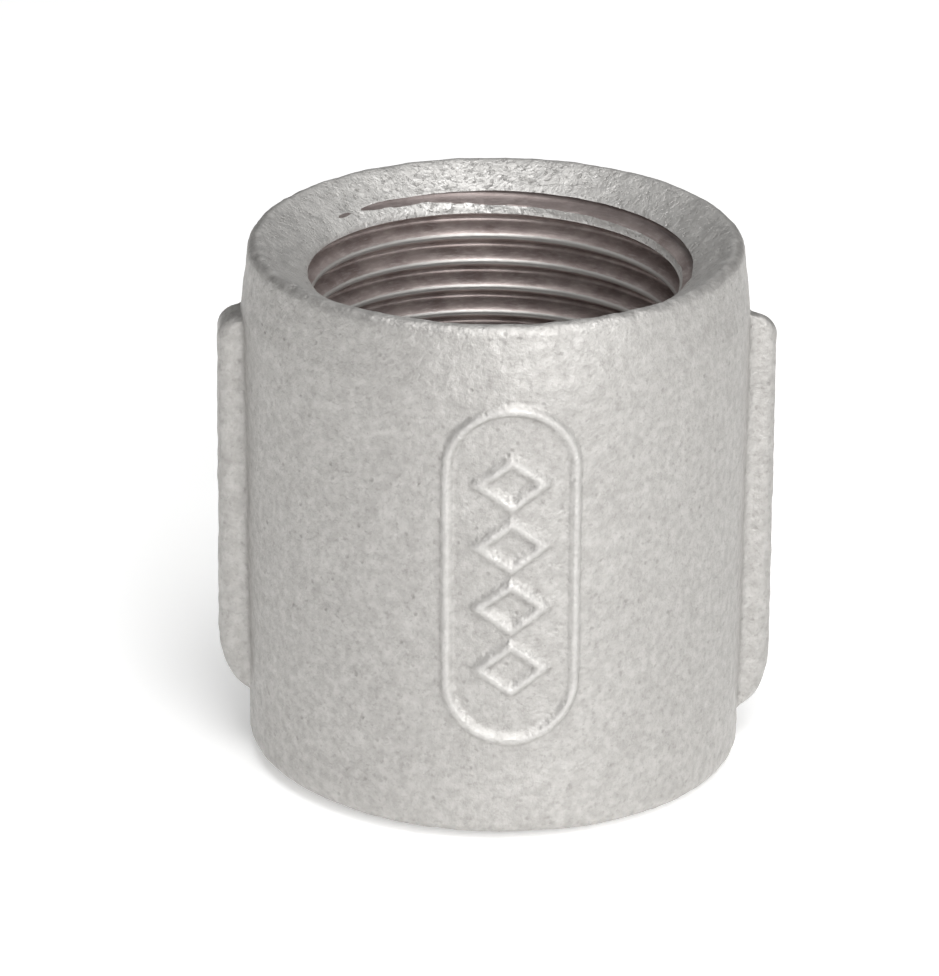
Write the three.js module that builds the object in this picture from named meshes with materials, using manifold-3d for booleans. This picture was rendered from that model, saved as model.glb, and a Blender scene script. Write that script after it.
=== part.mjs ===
// Threaded pipe socket: one galvanised malleable iron casting that joins two pipes of the same size.
// Millimetres, +Z up along the bore. The origin is the centre of the bottom end face.
// The ribs point along +X and -X, and the marked side of the barrel faces -Y.

import * as THREE from 'three';
import { mergeVertices } from 'three/addons/utils/BufferGeometryUtils.js';
import Module from 'manifold-3d';

const wasm = await Module();
wasm.setup();

// Barrel: a round casting that widens a little from the bottom up to a shoulder, then tapers in to
// the top rim
const LENGTH = 45;
const BOTTOM_RADIUS = 20.6;
const SHOULDER_RADIUS = 21;
const SHOULDER_HEIGHT = 39.6;
const TOP_RADIUS = 20.5;
const EDGE_ROUND = 0.8;
const BARREL_SEGMENTS = 72;
const EDGE_SEGMENTS = 3;

// Each end is countersunk from the flat rim down to the thread crests
const RIM_INNER_RADIUS = 19.2;
const COUNTERSINK_DEPTH = 2.5;

// Thread: parallel Whitworth form, 11 threads to the inch, right-handed, for a 1 inch pipe
const INCH = 25.4;
const THREADS_PER_INCH = 11;
const PITCH = INCH / THREADS_PER_INCH;
const ROOT_RADIUS = 33.249 / 2;
const CREST_RADIUS = 30.291 / 2;
const FLANK_ANGLE = THREE.MathUtils.degToRad(27.5);
const THREAD_SEGMENTS = 36;
// Height of one crest where the helix passes +Y, which fixes the point where the thread starts
const CREST_HEIGHT_AT_BACK = 39.6;

// Ribs: two long lugs on opposite sides, which a pipe wrench bears on. The one on -X is a little shorter.
const RIB_REACH = 23.15;
const RIB_WIDTH = 4.2;
const RIB_RUNOUT_DEPTH = 2.8;
const RIB_TOP_ROUND = 1.8;
const RIB_EDGE_ROUND = 1;
const RIBS = [
  { degrees: 0, bottom: 3.3, runoutLength: 4.6, top: 39.3 },
  { degrees: 180, bottom: 4.4, runoutLength: 5.1, top: 38.85 },
];

// Raised marks on the front: a long round-ended ring with a row of plain lozenges inside it
const RING_WIDTH = 11.5;
const RING_HEIGHT = 29.9;
const RING_LINE = 0.9;
const RING_MIDDLE = 23.66;
const MARK_RELIEF = 0.45;
const LOZENGE_COUNT = 4;
const LOZENGE_WIDTH = 6.4;
const LOZENGE_HEIGHT = 4.9;
const LOZENGE_LINE = 0.9;
const LOZENGE_SPACING = 5.4;

const QUARTER_TURN = Math.PI / 2;
const FULL_TURN = 2 * Math.PI;
// How far inside the wall each raised feature starts, so that it joins the barrel all over
const BURIED_RADIUS = 19;

// Geometry and booleans

function toSolid(geometry) {
  geometry.deleteAttribute('normal');
  geometry.deleteAttribute('uv');
  const merged = mergeVertices(geometry, 1e-4);
  const corners = merged.index.array;
  const triangles = [];
  for (let i = 0; i < corners.length; i += 3) {
    const [a, b, c] = corners.slice(i, i + 3);
    if (a !== b && b !== c && c !== a) {
      triangles.push(a, b, c);
    }
  }
  const mesh = new wasm.Mesh({
    numProp: 3,
    vertProperties: new Float32Array(merged.getAttribute('position').array),
    triVerts: new Uint32Array(triangles),
  });
  return new wasm.Manifold(mesh);
}

function toGeometry(solid) {
  const mesh = solid.getMesh();
  const geometry = new THREE.BufferGeometry();
  geometry.setAttribute('position', new THREE.BufferAttribute(mesh.vertProperties, 3));
  geometry.setIndex(new THREE.BufferAttribute(mesh.triVerts, 1));
  geometry.computeVertexNormals();
  return geometry;
}

// A solid of revolution about Z, from a path of (radius, height) that starts and ends on the axis
function revolve(path, segments) {
  const points = path.getPoints(EDGE_SEGMENTS);
  return toSolid(new THREE.LatheGeometry(points, segments).rotateX(QUARTER_TURN));
}

// Barrel

// The barrel's outline grown outwards by a margin, which the raised marks follow
function barrel(margin) {
  const bottom = BOTTOM_RADIUS + margin;
  const top = TOP_RADIUS + margin;
  const path = new THREE.Path();
  path.moveTo(0, 0);
  path.lineTo(bottom - EDGE_ROUND, 0);
  path.absarc(bottom - EDGE_ROUND, EDGE_ROUND, EDGE_ROUND, -QUARTER_TURN, 0);
  path.lineTo(SHOULDER_RADIUS + margin, SHOULDER_HEIGHT);
  path.absarc(top - EDGE_ROUND, LENGTH - EDGE_ROUND, EDGE_ROUND, 0, QUARTER_TURN);
  path.lineTo(0, LENGTH);
  return revolve(path, BARREL_SEGMENTS);
}

// The cone that opens the bottom end, carried a little past the face and into the bore
function bottomCountersink() {
  const slope = (RIM_INNER_RADIUS - CREST_RADIUS) / COUNTERSINK_DEPTH;
  const over = 1;
  const path = new THREE.Path();
  path.moveTo(0, -over);
  path.lineTo(RIM_INNER_RADIUS + over * slope, -over);
  path.lineTo(CREST_RADIUS - over * slope, COUNTERSINK_DEPTH + over);
  path.lineTo(0, COUNTERSINK_DEPTH + over);
  return revolve(path, BARREL_SEGMENTS);
}

function topCountersink() {
  return bottomCountersink().rotate([180, 0, 0]).translate([0, 0, LENGTH]);
}

// Thread

// The tap that cuts the thread is one closed helical surface. Columns run on along the helix, one
// step of angle apart. Each holds the points of a single pitch, and its top joins the foot of the
// column one full turn later. A fan of triangles from a point on the axis closes each end.
function tap() {
  const flankHeight = (ROOT_RADIUS - CREST_RADIUS) * Math.tan(FLANK_ANGLE);
  const flatHeight = PITCH / 2 - flankHeight;
  const onePitch = [
    { radius: CREST_RADIUS, height: -flatHeight / 2 },
    { radius: CREST_RADIUS, height: flatHeight / 2 },
    { radius: ROOT_RADIUS, height: flatHeight / 2 + flankHeight },
    { radius: ROOT_RADIUS, height: flatHeight * 1.5 + flankHeight },
  ];
  const rows = onePitch.length;

  const crestAtFirstColumn = CREST_HEIGHT_AT_BACK - PITCH / 4;
  const pitchesBelow = Math.ceil(crestAtFirstColumn / PITCH) + 2;
  const start = crestAtFirstColumn - pitchesBelow * PITCH;
  const turns = Math.ceil((LENGTH - start) / PITCH) + 1;
  const columns = turns * THREAD_SEGMENTS;

  const positions = [];
  const addPoint = (column, { radius, height }) => {
    const angle = (FULL_TURN * column) / THREAD_SEGMENTS;
    const rise = (PITCH * column) / THREAD_SEGMENTS;
    positions.push(radius * Math.cos(angle), radius * Math.sin(angle), start + rise + height);
  };
  for (let column = 0; column <= columns; column += 1) {
    onePitch.forEach((point) => addPoint(column, point));
  }
  // One more turn of feet closes the top of the last turn
  for (let column = columns + 1; column <= columns + THREAD_SEGMENTS; column += 1) {
    addPoint(column, onePitch[0]);
  }

  const pointAt = (column, row) => {
    if (row === rows) {
      return pointAt(column + THREAD_SEGMENTS, 0);
    }
    const extra = column - columns;
    return extra > 0 ? (columns + 1) * rows + extra - 1 : column * rows + row;
  };
  const triangles = [];
  for (let column = 0; column < columns; column += 1) {
    for (let row = 0; row < rows; row += 1) {
      const a = pointAt(column, row);
      const b = pointAt(column + 1, row);
      const c = pointAt(column + 1, row + 1);
      const d = pointAt(column, row + 1);
      triangles.push(a, b, c, a, c, d);
    }
  }

  // Open edge at one end: along the feet of one turn, then back down the column's own points
  const endEdge = (firstColumn) => {
    const edge = [];
    for (let step = 0; step <= THREAD_SEGMENTS; step += 1) {
      edge.push(pointAt(firstColumn + step, 0));
    }
    for (let row = rows - 1; row >= 0; row -= 1) {
      edge.push(pointAt(firstColumn, row));
    }
    return edge;
  };
  const addPointOnAxis = (height) => positions.push(0, 0, height) / 3 - 1;
  const bottomTip = addPointOnAxis(start - PITCH);
  const topTip = addPointOnAxis(start + (turns + 2) * PITCH);
  const bottomEdge = endEdge(0);
  const topEdge = endEdge(columns);
  for (let i = 1; i < bottomEdge.length; i += 1) {
    triangles.push(bottomTip, bottomEdge[i], bottomEdge[i - 1]);
    triangles.push(topTip, topEdge[i - 1], topEdge[i]);
  }

  const geometry = new THREE.BufferGeometry();
  geometry.setAttribute('position', new THREE.Float32BufferAttribute(positions, 3));
  geometry.setIndex(triangles);
  return toSolid(geometry);
}

// Ribs

// A rib's side view, with a long run-out at the bottom and a blunt top, is extruded across the rib's
// width with rounded long edges, then turned from +X to its own side
function rib({ degrees, bottom, runoutLength, top }) {
  const shape = new THREE.Shape();
  const runoutX = RIB_REACH - RIB_RUNOUT_DEPTH;
  const topX = RIB_REACH - RIB_TOP_ROUND;
  shape.moveTo(BURIED_RADIUS, bottom);
  shape.lineTo(runoutX, bottom);
  shape.absellipse(runoutX, bottom + runoutLength, RIB_RUNOUT_DEPTH, runoutLength, -QUARTER_TURN, 0);
  shape.absarc(topX, top - RIB_TOP_ROUND, RIB_TOP_ROUND, 0, QUARTER_TURN);
  shape.lineTo(BURIED_RADIUS, top);
  const geometry = new THREE.ExtrudeGeometry(shape, {
    depth: RIB_WIDTH - 2 * RIB_EDGE_ROUND,
    bevelThickness: RIB_EDGE_ROUND,
    bevelSize: RIB_EDGE_ROUND,
    bevelOffset: -RIB_EDGE_ROUND,
    bevelSegments: 3,
    curveSegments: 6,
  });
  geometry.translate(0, 0, RIB_EDGE_ROUND - RIB_WIDTH / 2).rotateX(QUARTER_TURN);
  return toSolid(geometry).rotate([0, 0, degrees]);
}

// Raised marks

// The outline of a slot with round ends, upright, about a middle height
function roundEnded(Outline, width, height, middle) {
  const radius = width / 2;
  const straight = height / 2 - radius;
  const outline = new Outline();
  outline.absarc(0, middle + straight, radius, 0, Math.PI);
  outline.absarc(0, middle - straight, radius, Math.PI, FULL_TURN);
  outline.closePath();
  return outline;
}

function lozenge(Outline, width, height, middle) {
  const outline = new Outline();
  outline.moveTo(width / 2, middle);
  outline.lineTo(0, middle + height / 2);
  outline.lineTo(-width / 2, middle);
  outline.lineTo(0, middle - height / 2);
  outline.closePath();
  return outline;
}

// A line of even width along an outline, drawn on the front
function outlined(outline, width, height, line, middle) {
  const shape = outline(THREE.Shape, width, height, middle);
  shape.holes.push(outline(THREE.Path, width - 2 * line, height - 2 * line, middle));
  return shape;
}

// Every mark is cut out of a skin that follows the barrel, so its face is an even height above it
function raisedMarks() {
  const shapes = [outlined(roundEnded, RING_WIDTH, RING_HEIGHT, RING_LINE, RING_MIDDLE)];
  for (let i = 0; i < LOZENGE_COUNT; i += 1) {
    const middle = RING_MIDDLE + (i - (LOZENGE_COUNT - 1) / 2) * LOZENGE_SPACING;
    shapes.push(outlined(lozenge, LOZENGE_WIDTH, LOZENGE_HEIGHT, LOZENGE_LINE, middle));
  }
  const depth = SHOULDER_RADIUS + 2 * MARK_RELIEF - BURIED_RADIUS;
  const prisms = shapes.map((shape) => {
    const geometry = new THREE.ExtrudeGeometry(shape, { depth, bevelEnabled: false, curveSegments: 9 });
    return toSolid(geometry.translate(0, 0, BURIED_RADIUS).rotateX(QUARTER_TURN));
  });
  return prisms.reduce((all, prism) => all.add(prism)).intersect(barrel(MARK_RELIEF));
}

// The whole casting

function socketBody() {
  const material = new THREE.MeshStandardMaterial({ color: 0xb8b8b0, roughness: 0.6, metalness: 0.7 });
  const outside = RIBS.reduce((solid, side) => solid.add(rib(side)), barrel(0)).add(raisedMarks());
  const body = outside.subtract(bottomCountersink()).subtract(topCountersink()).subtract(tap());
  const mesh = new THREE.Mesh(toGeometry(body), material);
  mesh.name = 'socket_body';
  return mesh;
}

const pipeSocket = new THREE.Group();
pipeSocket.add(socketBody());

export default pipeSocket;
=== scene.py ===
"""A galvanised malleable iron pipe socket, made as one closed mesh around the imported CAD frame.

The outside is a grid wrapped round the casting: barrel, ribs, raised marks, rims and countersinks, with the
unevenness of sand casting and a zinc coat. The thread is cut out of it by a helical tap, as on the real part.
Lengths are in millimetres in the CAD frame until the finished mesh is scaled to metres.
"""

import math

import bpy
import numpy as np
from mathutils import Matrix, Vector, noise


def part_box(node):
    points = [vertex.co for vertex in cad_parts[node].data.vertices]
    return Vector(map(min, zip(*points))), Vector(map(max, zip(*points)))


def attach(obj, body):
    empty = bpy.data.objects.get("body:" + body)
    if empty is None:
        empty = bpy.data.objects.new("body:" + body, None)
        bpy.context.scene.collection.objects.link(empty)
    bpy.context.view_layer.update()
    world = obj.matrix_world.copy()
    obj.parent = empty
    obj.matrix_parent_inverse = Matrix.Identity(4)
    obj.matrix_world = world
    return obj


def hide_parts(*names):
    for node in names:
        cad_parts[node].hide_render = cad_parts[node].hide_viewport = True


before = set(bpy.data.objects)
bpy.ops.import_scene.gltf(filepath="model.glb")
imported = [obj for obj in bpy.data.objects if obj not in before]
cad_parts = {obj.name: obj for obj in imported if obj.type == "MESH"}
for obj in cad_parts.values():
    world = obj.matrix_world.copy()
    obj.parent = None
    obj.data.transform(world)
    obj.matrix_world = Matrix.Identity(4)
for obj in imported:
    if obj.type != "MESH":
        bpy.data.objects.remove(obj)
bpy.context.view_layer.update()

# Frame: the CAD node that the casting stands for, and its size
MM = 0.001
NODE = "socket_body"
node_low, node_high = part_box(NODE)
LENGTH = node_high.z / MM
RIB_REACH = node_high.x / MM

# Barrel
BOTTOM_RADIUS = 20.6
SHOULDER_RADIUS = 21.0
SHOULDER_DEPTH = 5.4
SHOULDER_HEIGHT = LENGTH - SHOULDER_DEPTH
TOP_RADIUS = 20.5
BOTTOM_ROUND = 1.3
TOP_ROUND = 0.85
# The inner edge of each rim, where its countersink begins
BOTTOM_RIM_INNER = 19.0
TOP_RIM_INNER = 19.45
# The rim's broken inner edge, as (radius beyond that inner edge, depth)
RIM_BREAK = ((-0.2, 0.15), (-0.08, 0.09), (0.1, 0.02))
# The countersink, as (radius, depth), from inside the bore outwards: it flattens the first crest of the
# thread, then opens out to the rim
COUNTERSINK = ((14.4, 4.7), (15.35, 3.5), (15.55, 2.7), (16.6, 1.8))
# The bottom end is cut a little out of square: its -X side stands this much higher
BOTTOM_SKEW = 0.78
BOTTOM_SKEW_FADE = 8.0

# Cast surface: how rough each stretch of it is, and its unevenness as (size of the bumps, their height).
# The grain is scaled by the roughness and never falls below its least share
BARREL_ROUGH = 0.6
EDGE_ROUGH = 0.9
RIM_ROUGH = 1.0
LUMPS = ((9.0, 0.07), (3.1, 0.045))
GRAIN = ((1.5, 0.050), (0.8, 0.040))
LEAST_GRAIN = 0.3

# Spacing of the grid's rows: across an end, and up the barrel as (from, to, step), closer at the ribs' ends
END_STEP = 0.25
BARREL_BANDS = (
    (BOTTOM_ROUND, 3.2, 0.32),
    (3.2, 9.6, 0.22),
    (9.6, 36.4, 0.3),
    (36.4, 39.7, 0.16),
    (39.7, LENGTH - TOP_ROUND, 0.32),
)
# Spacing of its columns: over the raised marks, beside them, past the first rib and round the back
MARKS_STEP = 0.2
SIDE_STEP = 0.42
PAST_RIB_STEP = 0.45
BACK_STEP = 0.6

# Thread: parallel Whitworth form, 11 to the inch, right-handed
PITCH = 25.4 / 11
CREST_RADIUS = 30.291 / 2
ROOT_RADIUS = 33.249 / 2
FLANK_ANGLE = math.radians(27.5)
THREAD_ROUND = 0.137329 * PITCH
CREST_HEIGHT_AT_BACK = 39.6
TAP_COLUMNS = 100
TAP_WEAR = ((2.2, 0.02), (0.6, 0.02))

# Ribs
RIB_WIDTH = 4.2
RIB_TOP_ROUND = 1.8
RIB_FILLET = 0.7
RIB_CORNER_TOP = 0.75
RIB_CORNER_BOTTOM = 1.3
# How far a rib's ends bow in at its two sides, and the height its top dies away over
RIB_END_BOW = 0.35
RIB_TOP_FADE = 0.3
# The grid's columns follow a rib's outline this far to each side, and let go of it over this height past
# the rib's ends
RIB_ZONE = 3.4
RIB_RELEASE = 2.4
# Number 0 points along +X and number 1 along -X. The power shapes a run-out's side view, between a straight
# slope (1) and an ellipse (2). The lean is how much less far a rib reaches at its top, and the back drop is
# how much lower its top is along its +Y edge
RIBS = (
    {"bottom": 3.05, "runout": 4.7, "power": 1.9, "top": 38.85, "lean": 0.0, "back_drop": 1.5},
    {"bottom": 5.4, "runout": 5.1, "power": 1.6, "top": 39.2, "lean": 0.27, "back_drop": 0.0},
)

# Raised marks on the -Y side
RING_WIDTH = 11.5
RING_HEIGHT = 29.9
RING_MIDDLE = 23.66
MARK_LINE = 0.95
MARK_RELIEF = 0.45
# A raised line's side, in line widths: how far out its foot is, and how wide its slope is
LINE_FOOT = 0.62
LINE_SLOPE = 0.45
LOZENGE_COUNT = 4
LOZENGE_WIDTH = 6.4
LOZENGE_HEIGHT = 4.9
LOZENGE_SPACING = 5.4
FRONT_ANGLE = -math.pi / 2
FRONT_ZONE = 7.2
FRONT_MARGIN = 1.0

# What the materials' masks go by: how far in from the top's radius the rim's rubbing starts, how deep the
# painted shade in the mouth of the bore goes, how far out the crests keep their zinc, and the widths they
# fade over
OUTSIDE_SLACK = 0.3
RIM_START = 0.4
RIM_FADE = 0.6
MOUTH_DEPTH = 3.1
MOUTH_FADE = 0.5
CREST_START = 0.06
CREST_FADE = 0.16
SHARP_ANGLE = math.radians(48)


def smooth(x):
    """Eases from 0 to 1 as x does, and holds outside that."""
    x = np.clip(x, 0.0, 1.0)
    return x * x * (3 - 2 * x)


def spread(start, stop, step):
    """Even values from start up to but not including stop, about a step apart."""
    count = max(1, round((stop - start) / step))
    return np.linspace(start, stop, count, endpoint=False)


def uneven(points, layers, seed):
    """Smooth noise at each point: layers are (size of the bumps, their height)."""
    offset = Vector((seed * 17.3, seed * 5.1, seed * 11.7))
    total = np.zeros(len(points))
    for size, height in layers:
        values = [noise.noise(Vector(p) / size + offset) for p in points]
        total += height * np.array(values)
    return total


# Outside of the casting


def barrel_radius(z):
    heights = [0.0, SHOULDER_HEIGHT, LENGTH - TOP_ROUND]
    return np.interp(z, heights, [BOTTOM_RADIUS, SHOULDER_RADIUS, TOP_RADIUS])


def end_section(outer_radius, inner_radius, edge_round):
    """The section of one end, from inside its countersink out to the barrel, as (radius, depth below the
    rim, roughness of the casting). Hardly any of the rim is flat."""
    rows = []
    rim_break = [(inner_radius + beyond, depth) for beyond, depth in RIM_BREAK]
    corners = (*COUNTERSINK, rim_break[0])
    for (r0, d0), (r1, d1) in zip(corners, corners[1:]):
        for share in spread(0.0, 1.0, END_STEP / math.hypot(r1 - r0, d1 - d0)):
            rows.append((r0 + (r1 - r0) * share, d0 + (d1 - d0) * share, RIM_ROUGH))
    rows += [(radius, depth, RIM_ROUGH) for radius, depth in rim_break[1:]]
    for turn in np.linspace(0, math.pi / 2, 6)[:-1]:
        radius = outer_radius - edge_round * (1 - math.sin(turn))
        rows.append((radius, edge_round * (1 - math.cos(turn)), EDGE_ROUGH))
    return rows


def section():
    """Rows round the wall's section: radius, height, roughness, and whether the row is on the barrel."""
    bottom = end_section(BOTTOM_RADIUS, BOTTOM_RIM_INNER, BOTTOM_ROUND)
    rows = [(r, depth, rough, 0.0) for r, depth, rough in bottom]
    for start, stop, step in BARREL_BANDS:
        for z in spread(start, stop, step):
            rows.append((float(barrel_radius(z)), z, BARREL_ROUGH, 1.0))
    rows.append((TOP_RADIUS, LENGTH - TOP_ROUND, BARREL_ROUGH, 1.0))
    top = end_section(TOP_RADIUS, TOP_RIM_INNER, TOP_ROUND)
    rows.extend((r, LENGTH - depth, rough, 0.0) for r, depth, rough in reversed(top))
    return np.array(rows)


def rib_outline(z):
    """Half of a rib's cross-section at height z, from the barrel to the middle of the rib's face: distance
    across the rib, and height above the barrel."""
    radius = float(barrel_radius(z))
    share = np.clip(z / LENGTH, 0, 1)
    corner = RIB_CORNER_BOTTOM + (RIB_CORNER_TOP - RIB_CORNER_BOTTOM) * share
    half = RIB_WIDTH / 2
    proud = RIB_REACH - math.sqrt(radius**2 - half**2)
    points = [(RIB_ZONE, 0.0), ((RIB_ZONE + half + RIB_FILLET) / 2, 0.0)]
    for s in np.linspace(0, 1, 4):
        points.append((half + RIB_FILLET * (1 - s) ** 2, RIB_FILLET * s**2))
    for s in np.linspace(0, 1, 6)[1:]:
        points.append((half, RIB_FILLET + (proud - corner - RIB_FILLET) * s))
    for turn in np.linspace(0, math.pi / 2, 5)[1:]:
        across = half - corner * (1 - math.cos(turn))
        points.append((across, proud - corner * (1 - math.sin(turn))))
    for s in np.linspace(1, 0, 4)[1:]:
        across = (half - corner) * s
        sag = radius - math.sqrt(radius**2 - across**2)
        points.append((across, RIB_REACH - radius + sag))
    return np.array(points)


def rib_share(rib, across, z):
    """How much of its full height a rib has at each point across it, at height z."""
    bow = RIB_END_BOW * (np.abs(across) / (RIB_WIDTH / 2)) ** 4
    below = np.clip((rib["bottom"] + rib["runout"] - z + bow) / rib["runout"], 0, 1)
    bottom = (1 - below ** rib["power"]) ** (1 / rib["power"])
    drop = rib["back_drop"] * np.clip(across / RIB_WIDTH + 0.5, 0, 1)
    past_top = z + bow + drop - rib["top"]
    rise = np.clip(past_top + RIB_TOP_ROUND, 0, RIB_TOP_ROUND)
    rounded = RIB_TOP_ROUND - np.sqrt(RIB_TOP_ROUND**2 - rise**2)
    top = 1 - (rounded + rib["lean"] * z / LENGTH) / (RIB_REACH - SHOULDER_RADIUS)
    return bottom * top * (1 - smooth(past_top / RIB_TOP_FADE))


def column_plan():
    """Each column's angle, and which rib it is on, or -1."""
    turn = 1 / SHOULDER_RADIUS
    half_turn = math.pi * SHOULDER_RADIUS
    quarter = half_turn / 2
    rib_columns = 2 * len(rib_outline(SHOULDER_HEIGHT)) - 1
    angles, ribs = [], []

    def plain(start, stop, step):
        for arc in spread(start, stop, step):
            angles.append(FRONT_ANGLE + arc * turn)
            ribs.append(-1)

    def rib(number, middle):
        for place in range(rib_columns):
            arc = middle + RIB_ZONE * (2 * place / (rib_columns - 1) - 1)
            angles.append(FRONT_ANGLE + arc * turn)
            ribs.append(number)

    plain(-FRONT_ZONE, FRONT_ZONE, MARKS_STEP)
    plain(FRONT_ZONE, quarter - RIB_ZONE, SIDE_STEP)
    rib(0, quarter)
    plain(quarter + RIB_ZONE + PAST_RIB_STEP, 3 * quarter - RIB_ZONE, BACK_STEP)
    rib(1, 3 * quarter)
    plain(3 * quarter + RIB_ZONE + SIDE_STEP, 4 * quarter - FRONT_ZONE, SIDE_STEP)
    return np.array(angles), np.array(ribs)


def line_height(distance):
    """Height of a raised line at a distance from its middle: a rounded ridge."""
    return MARK_RELIEF * smooth((LINE_FOOT * MARK_LINE - distance) / (LINE_SLOPE * MARK_LINE))


def marks(arc, z):
    """Height of the raised marks above the barrel, at an arc length from the middle of the front."""
    radius = (RING_WIDTH - MARK_LINE) / 2
    straight = (RING_HEIGHT - MARK_LINE) / 2 - radius
    up = np.clip(np.abs(z - RING_MIDDLE) - straight, 0, None)
    height = line_height(np.abs(np.hypot(arc, up) - radius))
    a = (LOZENGE_WIDTH - MARK_LINE) / 2
    b = (LOZENGE_HEIGHT - MARK_LINE) / 2
    for i in range(LOZENGE_COUNT):
        middle = RING_MIDDLE + (i - (LOZENGE_COUNT - 1) / 2) * LOZENGE_SPACING
        edge = np.abs(arc) / a + np.abs(z - middle) / b - 1
        distance = np.abs(edge) * a * b / math.hypot(a, b)
        height = np.maximum(height, line_height(distance))
    return height


def placed(radius, angle, height):
    """Points of a grid given round the bore's axis."""
    x, y = radius * np.cos(angle), radius * np.sin(angle)
    return np.stack([x, y, height], axis=2).reshape(-1, 3)


def casting():
    """The casting before it is threaded: vertices and faces of one closed grid."""
    rows = section()
    column_angles, ribs = column_plan()
    count_rows, count_columns = len(rows), len(column_angles)
    angle = np.tile(column_angles, (count_rows, 1))
    radius = np.tile(rows[:, :1], (1, count_columns))
    for index in range(count_rows):
        z = rows[index, 1]
        if not rows[index, 3]:
            continue
        base = float(barrel_radius(z))
        arc = (column_angles - FRONT_ANGLE) * SHOULDER_RADIUS
        front = np.abs(arc) < FRONT_ZONE + FRONT_MARGIN
        radius[index, front] += marks(arc[front], z)
        half = rib_outline(z)
        across = np.concatenate([-half[:, 0], half[-2::-1, 0]])
        proud = np.concatenate([half[:, 1], half[-2::-1, 1]])
        even = np.linspace(-RIB_ZONE, RIB_ZONE, len(across))
        for number, rib in enumerate(RIBS):
            beyond = max(rib["bottom"] - z, z - rib["top"] - RIB_TOP_FADE, 0.0)
            gather = float(smooth(1 - beyond / RIB_RELEASE))
            t = even + (across - even) * gather
            x = np.sqrt(base**2 - t**2) + proud * rib_share(rib, t, z)
            chosen = ribs == number
            middle = FRONT_ANGLE + (math.pi / 2) * (1 + 2 * number)
            angle[index, chosen] = middle + np.arctan2(t, x)
            radius[index, chosen] = np.hypot(t, x)

    ahead = np.roll(rows[:, :2], -1, axis=0) - np.roll(rows[:, :2], 1, axis=0)
    ahead /= np.linalg.norm(ahead, axis=1)[:, None]
    normal = np.stack([ahead[:, 1], -ahead[:, 0]], axis=1)
    height = np.tile(rows[:, 1:2], (1, count_columns))
    points = placed(radius, angle, height)
    rough = np.repeat(rows[:, 2], count_columns)
    lumps = uneven(points, LUMPS, seed=1)
    grain = uneven(points, GRAIN, seed=2)
    push = (lumps + grain * (LEAST_GRAIN + rough)).reshape(count_rows, count_columns)
    radius = radius + push * normal[:, :1]
    height = height + push * normal[:, 1:]
    across = np.clip(radius * np.cos(angle) / BOTTOM_RADIUS, -1, 1)
    lift = BOTTOM_SKEW * (1 - across) / 2
    height = height + lift * smooth(1 - height / BOTTOM_SKEW_FADE)

    faces = []
    for i in range(count_rows):
        this_row, next_row = i * count_columns, (i + 1) % count_rows * count_columns
        for j in range(count_columns):
            right = (j + 1) % count_columns
            faces.append((this_row + j, this_row + right, next_row + right, next_row + j))
    return placed(radius, angle, height), faces


# Thread


def thread_profile():
    """One pitch of the Whitworth form, from a crest to just short of the next, as (height, depth of cut).
    Straight flanks join rounded crests and roots."""
    depth = ROOT_RADIUS - CREST_RADIUS
    flank_start = math.pi / 2 - FLANK_ANGLE
    turns = np.linspace(-flank_start, flank_start, 5)
    crest = [(THREAD_ROUND * math.sin(t), THREAD_ROUND * (1 - math.cos(t))) for t in turns]
    root = [(PITCH / 2 + height, depth - cut) for height, cut in crest]
    flank_height = (root[0][0] - crest[-1][0]) / 3
    flank_cut = (root[0][1] - crest[-1][1]) / 3
    up = [(crest[-1][0] + s * flank_height, crest[-1][1] + s * flank_cut) for s in (1, 2)]
    down = [(root[-1][0] + s * flank_height, root[-1][1] - s * flank_cut) for s in (1, 2)]
    next_crest = [(PITCH + height, cut) for height, cut in crest[:2]]
    return crest[2:] + up + root + down + next_crest


def tap():
    """The helical tap that cuts the thread. Columns run on along the helix. Each holds one pitch of the
    thread, and its top joins the foot of the column a full turn later."""
    profile = thread_profile()
    rows = len(profile)
    first_crest = CREST_HEIGHT_AT_BACK - PITCH / 4
    below = math.ceil(first_crest / PITCH) + 1
    start = first_crest - below * PITCH
    turns = math.ceil((LENGTH - start) / PITCH) + 1
    columns = turns * TAP_COLUMNS

    def place(column, row):
        height, cut = profile[row]
        turned = column / TAP_COLUMNS
        angle = 2 * math.pi * turned
        radius = CREST_RADIUS + cut
        x, y = radius * math.cos(angle), radius * math.sin(angle)
        return x, y, start + PITCH * turned + height

    points = [place(c, r) for c in range(columns + 1) for r in range(rows)]
    points += [place(c, 0) for c in range(columns + 1, columns + TAP_COLUMNS + 1)]

    def index(column, row):
        if row == rows:
            return index(column + TAP_COLUMNS, 0)
        extra = column - columns
        return (columns + 1) * rows + extra - 1 if extra > 0 else column * rows + row

    faces = []
    for c in range(columns):
        for r in range(rows):
            faces.append((index(c, r), index(c + 1, r), index(c + 1, r + 1), index(c, r + 1)))
    bottom_tip = len(points)
    top_tip = bottom_tip + 1
    points += [(0, 0, start - PITCH), (0, 0, start + (turns + 2) * PITCH)]
    for first, tip, flip in ((0, bottom_tip, True), (columns, top_tip, False)):
        edge = [index(first + step, 0) for step in range(TAP_COLUMNS + 1)]
        edge += [index(first, row) for row in range(rows - 1, -1, -1)]
        for a, b in zip(edge, edge[1:]):
            faces.append((tip, b, a) if flip else (tip, a, b))

    points = np.array(points)
    from_axis = np.hypot(points[:, 0], points[:, 1])
    worn = uneven(points, TAP_WEAR, seed=3) * (from_axis > 1)
    points[:, :2] *= (1 + worn / np.maximum(from_axis, 1))[:, None]
    return points, faces


# Meshes


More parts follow.
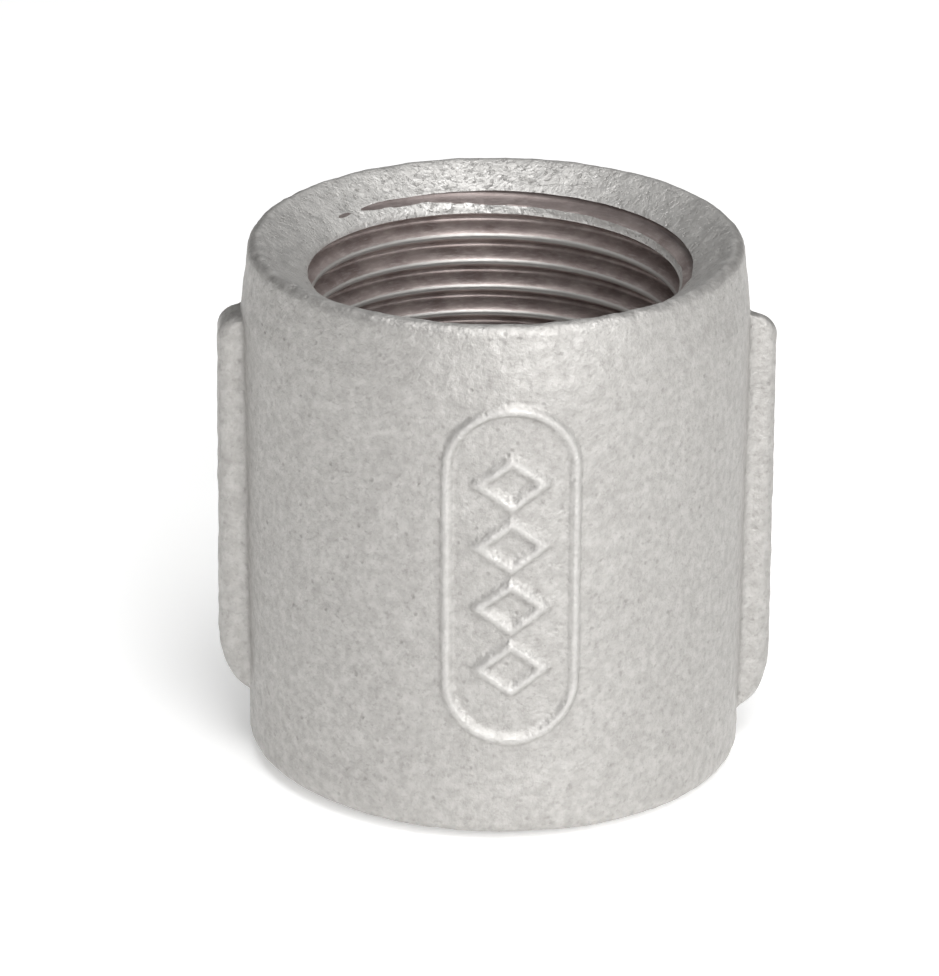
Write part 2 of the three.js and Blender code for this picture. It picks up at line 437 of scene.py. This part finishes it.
def mesh_object(name, points, faces, slot_number, materials):
    mesh = bpy.data.meshes.new(name)
    mesh.from_pydata([tuple(p) for p in points], [], faces)
    for material in materials:
        mesh.materials.append(material)
    mesh.polygons.foreach_set("material_index", [slot_number] * len(faces))
    mesh.validate()
    piece = bpy.data.objects.new(name, mesh)
    bpy.context.scene.collection.objects.link(piece)
    return piece


def cut_away(body, tool):
    """Cuts the tool out of the body for good and removes the tool."""
    modifier = body.modifiers.new("cut", "BOOLEAN")
    modifier.operation = "DIFFERENCE"
    modifier.solver = "MANIFOLD"
    modifier.object = tool
    graph = bpy.context.evaluated_depsgraph_get()
    finished = bpy.data.meshes.new_from_object(body.evaluated_get(graph))
    body.modifiers.clear()
    body.data = finished
    bpy.data.objects.remove(tool)


def store(mesh, name, values):
    attribute = mesh.attributes.new(name, "FLOAT", "POINT")
    attribute.data.foreach_set("value", values.astype(np.float32))


def vertices_of(mesh):
    flat = np.zeros(len(mesh.vertices) * 3)
    mesh.vertices.foreach_get("co", flat)
    return flat.reshape(-1, 3)


# Materials


class Nodes:
    """Short names for the few things that the materials' node trees are made of."""

    def __init__(self, name):
        self.material = bpy.data.materials.new(name)
        self.material.use_nodes = True
        self.tree = self.material.node_tree
        self.shader = self.tree.nodes["Principled BSDF"]
        self.place = self.add("ShaderNodeTexCoord").outputs["Object"]

    def add(self, kind, **settings):
        node = self.tree.nodes.new(kind)
        for key, value in settings.items():
            setattr(node, key, value)
        return node

    def link(self, source, socket):
        self.tree.links.new(source, socket)

    def stretched(self, scale):
        mapping = self.add("ShaderNodeMapping")
        self.link(self.place, mapping.inputs["Vector"])
        mapping.inputs["Scale"].default_value = scale
        return mapping.outputs["Vector"]

    def noise(self, size_mm, detail, rough=0.55, vector=None, distortion=0.0):
        node = self.add("ShaderNodeTexNoise")
        self.link(vector or self.place, node.inputs["Vector"])
        node.inputs["Scale"].default_value = 1 / (size_mm * MM)
        node.inputs["Detail"].default_value = detail
        node.inputs["Roughness"].default_value = rough
        node.inputs["Distortion"].default_value = distortion
        return node.outputs["Fac"]

    def cells(self, size_mm):
        node = self.add("ShaderNodeTexVoronoi")
        self.link(self.place, node.inputs["Vector"])
        node.inputs["Scale"].default_value = 1 / (size_mm * MM)
        return node.outputs["Distance"]

    def attribute(self, name):
        return self.add("ShaderNodeAttribute", attribute_name=name).outputs["Fac"]

    def range(self, value, low, high, to_low=0.0, to_high=1.0):
        node = self.add("ShaderNodeMapRange")
        self.link(value, node.inputs["Value"])
        node.inputs["From Min"].default_value = low
        node.inputs["From Max"].default_value = high
        node.inputs["To Min"].default_value = to_low
        node.inputs["To Max"].default_value = to_high
        return node.outputs["Result"]

    def maths(self, operation, a, b):
        """The sum or product of a socket and a socket or number."""
        node = self.add("ShaderNodeMath", operation=operation)
        self.link(a, node.inputs[0])
        if isinstance(b, float):
            node.inputs[1].default_value = b
        else:
            self.link(b, node.inputs[1])
        return node.outputs["Value"]

    def mix(self, factor, a, b):
        """Between two colours, each a socket or an RGB tuple. A colour mix keeps those in sockets 6 and 7."""
        node = self.add("ShaderNodeMix", data_type="RGBA")
        self.link(factor, node.inputs[0])
        for socket, value in ((node.inputs[6], a), (node.inputs[7], b)):
            if isinstance(value, tuple):
                socket.default_value = (*value, 1.0)
            else:
                self.link(value, socket)
        return node.outputs[2]

    def tint(self, colour, mask, share, paint):
        """Lays a paint over a colour by the mask, up to a share of its full strength."""
        return self.mix(self.maths("MULTIPLY", mask, share), colour, paint)

    def bump(self, height, distance_mm, strength, under=None):
        node = self.add("ShaderNodeBump")
        self.link(height, node.inputs["Height"])
        node.inputs["Distance"].default_value = distance_mm * MM
        node.inputs["Strength"].default_value = strength
        if under is not None:
            self.link(under, node.inputs["Normal"])
        return node.outputs["Normal"]


ZINC_LIGHT = (0.56, 0.548, 0.53)
ZINC_MID = (0.46, 0.448, 0.432)
ZINC_DARK = (0.28, 0.268, 0.255)
# Rubbed zinc on the rims, and the painted highlight on the raised marks
ZINC_RUBBED_AND_HIGHLIGHT = (0.76, 0.75, 0.73)
IRON_DARK = (0.28, 0.228, 0.216)
IRON_MID = (0.55, 0.48, 0.46)
IRON_LIGHT = (0.64, 0.59, 0.57)
# Painted shade that darkens the cut thread in the mouth of the bore
IRON_PAINTED_SHADE = (0.12, 0.10, 0.095)


def zinc():
    """Hot-dip zinc over a sand casting: matt, mottled grey with a fine grain and small pits."""
    n = Nodes("galvanised_casting")
    cloud = n.range(n.noise(7.0, 4.0), 0.32, 0.68)
    mottle = n.range(n.noise(1.4, 5.0, 0.6), 0.35, 0.65)
    specks = n.range(n.noise(0.42, 3.0, 0.6), 0.54, 0.72)
    blotches = n.range(n.noise(0.75, 3.0, 0.6), 0.38, 0.62)
    pits = n.range(n.cells(1.5), 0.16, 0.05)
    rim = n.attribute("rim")
    pocks = n.maths("MULTIPLY", n.range(n.noise(0.48, 4.0, 0.7), 0.54, 0.68), rim)
    layers = (
        (cloud, 0.35, ZINC_LIGHT),
        (mottle, 0.45, ZINC_LIGHT),
        (specks, 0.45, ZINC_DARK),
        (blotches, 0.34, ZINC_DARK),
        (pits, 0.45, ZINC_DARK),
        (rim, 0.5, ZINC_RUBBED_AND_HIGHLIGHT),
        (pocks, 0.6, ZINC_DARK),
        # Painted highlight: the raised marks are painted lighter
        (n.attribute("raised"), 0.28, ZINC_RUBBED_AND_HIGHLIGHT),
    )
    colour = ZINC_MID
    for mask, share, paint in layers:
        colour = n.tint(colour, mask, share, paint)
    n.link(colour, n.shader.inputs["Base Color"])
    n.link(n.range(n.noise(0.9, 4.0), 0.3, 0.7, 0.46, 0.66), n.shader.inputs["Roughness"])
    n.shader.inputs["Metallic"].default_value = 0.85
    grain = n.bump(n.noise(0.34, 3.0, 0.6), 0.09, 0.9)
    lumps = n.bump(n.noise(1.0, 3.0, 0.55, distortion=0.4), 0.11, 0.8, grain)
    pitted = n.bump(pits, -0.05, 0.8, lumps)
    n.link(n.bump(pocks, -0.05, 1.0, pitted), n.shader.inputs["Normal"])
    return n.material


def cut_iron():
    """The thread: dark cut iron with fine lines along the cut, and crests that kept their zinc."""
    n = Nodes("cut_thread")
    streaks = n.stretched((0.12, 0.12, 1.0))
    lines = n.noise(0.10, 4.0, 0.65, streaks)
    stain = n.range(n.noise(2.6, 4.0, 0.6), 0.35, 0.65)
    colour = n.tint(IRON_DARK, stain, 0.6, IRON_MID)
    colour = n.mix(n.range(lines, 0.5, 0.75, 0.0, 0.5), colour, IRON_LIGHT)
    # Painted shade: the first turns of the thread, in the mouth of the bore, are darkened
    colour = n.tint(colour, n.attribute("mouth"), 0.6, IRON_PAINTED_SHADE)
    crest = n.attribute("crest")
    ragged = n.maths("ADD", crest, n.range(n.noise(0.5, 3.0), 0.3, 0.7, -0.15, 0.15))
    colour = n.mix(n.range(ragged, 0.35, 0.75), colour, ZINC_MID)
    n.link(colour, n.shader.inputs["Base Color"])
    n.link(n.range(lines, 0.3, 0.7, 0.34, 0.52), n.shader.inputs["Roughness"])
    n.shader.inputs["Metallic"].default_value = 0.7
    scratches = n.bump(lines, 0.02, 0.7)
    n.link(n.bump(n.noise(0.5, 3.0), 0.03, 0.6, scratches), n.shader.inputs["Normal"])
    return n.material


FLOOR_SIZE = 6.0
FLOOR_GLOW = 0.3
FLOOR_PALE = (0.86, 0.86, 0.855)
FLOOR_PALER = (0.88, 0.88, 0.875)


def floor_paint():
    """A pale light table: it glows a little, so light also comes up from below."""
    n = Nodes("pale_floor")
    n.shader.inputs["Emission Color"].default_value = (1.0, 1.0, 1.0, 1.0)
    n.shader.inputs["Emission Strength"].default_value = FLOOR_GLOW
    tone = n.range(n.noise(60.0, 3.0), 0.3, 0.7)
    n.link(n.mix(tone, FLOOR_PALE, FLOOR_PALER), n.shader.inputs["Base Color"])
    n.shader.inputs["Roughness"].default_value = 0.9
    return n.material


# The socket


def socket():
    materials = [zinc(), cut_iron()]
    body = mesh_object("threaded_socket", *casting(), 0, materials)
    tool = mesh_object("tap", *tap(), 1, materials)
    cut_away(body, tool)
    mesh = body.data
    points = vertices_of(mesh)
    radius = np.hypot(points[:, 0], points[:, 1])
    arc = (np.arctan2(points[:, 1], points[:, 0]) - FRONT_ANGLE) * SHOULDER_RADIUS
    outside = (radius > BOTTOM_RADIUS - OUTSIDE_SLACK) & (np.abs(arc) < FRONT_ZONE + FRONT_MARGIN)
    # Mask of the raised marks, which also carries their painted highlight
    store(mesh, "raised", marks(arc, points[:, 2]) / MARK_RELIEF * outside)
    store(mesh, "rim", smooth((TOP_RADIUS - RIM_START - radius) / RIM_FADE))
    # Mask of the painted shade in the mouth of the bore
    store(mesh, "mouth", smooth((points[:, 2] - LENGTH + MOUTH_DEPTH) / MOUTH_FADE))
    store(mesh, "crest", 1 - smooth((radius - CREST_RADIUS - CREST_START) / CREST_FADE))
    mesh.transform(Matrix.Scale(MM, 4))
    mesh.shade_smooth()
    mesh.set_sharp_from_angle(angle=SHARP_ANGLE)
    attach(body, "root")
    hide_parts(NODE)


# Stage

# Brightness of the sky at its foot and overhead
SKY_LOW = 0.05
SKY_HIGH = 0.26
# Square soft boxes, as (name, direction from the socket, width in metres, power in watts)
LIGHT_DISTANCE = 0.9
LIGHTS = (
    ("key", (0.36, -1.0, 0.35), 0.5, 3.4),
    ("front", (0.1, -1.0, 0.6), 0.6, 2.9),
    ("top", (0.1, -0.35, 1.0), 0.6, 5.4),
    ("left", (-1.0, -0.1, 0.35), 0.6, 0.6),
    ("right", (1.0, -0.2, 0.35), 0.6, 1.2),
)


def camera():
    """Looks down on the front from a little round towards -X, from half a metre away with a long lens."""
    turn = math.radians(-93.5)
    elevation = math.radians(22.58)
    roll = math.radians(0.24)
    distance = 527.0
    aim = Vector((-2.086, 0.128, 22.78))
    level = math.cos(elevation)
    away = Vector((math.cos(turn) * level, math.sin(turn) * level, math.sin(elevation)))
    data = bpy.data.cameras.new("camera")
    data.sensor_width = 36.0
    data.lens = 232.67
    data.clip_start = 0.01
    view = bpy.data.objects.new("camera", data)
    bpy.context.scene.collection.objects.link(view)
    facing = (-away).to_track_quat("-Z", "Y").to_matrix()
    turned = (facing @ Matrix.Rotation(roll, 3, "Z")).to_4x4()
    view.matrix_world = Matrix.Translation((aim + away * distance) * MM) @ turned
    bpy.context.scene.camera = view


def soft_light(name, direction, width, power):
    """A square soft box that faces the middle of the socket from a direction."""
    data = bpy.data.lights.new(name, "AREA")
    data.shape = "SQUARE"
    data.size = width
    data.energy = power
    light = bpy.data.objects.new(name, data)
    bpy.context.scene.collection.objects.link(light)
    away = Vector(direction).normalized()
    target = Vector((0, 0, LENGTH / 2 * MM))
    light.location = target + away * LIGHT_DISTANCE
    light.rotation_euler = (-away).to_track_quat("-Z", "Y").to_euler()


def sky():
    """Soft grey light from all round, brighter overhead."""
    world = bpy.data.worlds.new("studio")
    bpy.context.scene.world = world
    world.use_nodes = True
    tree = world.node_tree
    background = tree.nodes["Background"]
    place = tree.nodes.new("ShaderNodeTexCoord")
    parts = tree.nodes.new("ShaderNodeSeparateXYZ")
    ramp = tree.nodes.new("ShaderNodeMapRange")
    ramp.inputs["To Min"].default_value = SKY_LOW
    ramp.inputs["To Max"].default_value = SKY_HIGH
    tree.links.new(place.outputs["Generated"], parts.inputs["Vector"])
    tree.links.new(parts.outputs["Z"], ramp.inputs["Value"])
    tree.links.new(ramp.outputs["Result"], background.inputs["Color"])


def stage():
    """The floor that the socket stands on, and the light."""
    bpy.ops.mesh.primitive_plane_add(size=FLOOR_SIZE, location=(0, 0, node_low.z))
    floor = bpy.context.object
    floor.name = "floor"
    floor.data.materials.append(floor_paint())
    sky()
    for light in LIGHTS:
        soft_light(*light)
    bpy.context.scene.view_settings.view_transform = "Standard"


socket()
camera()
stage()
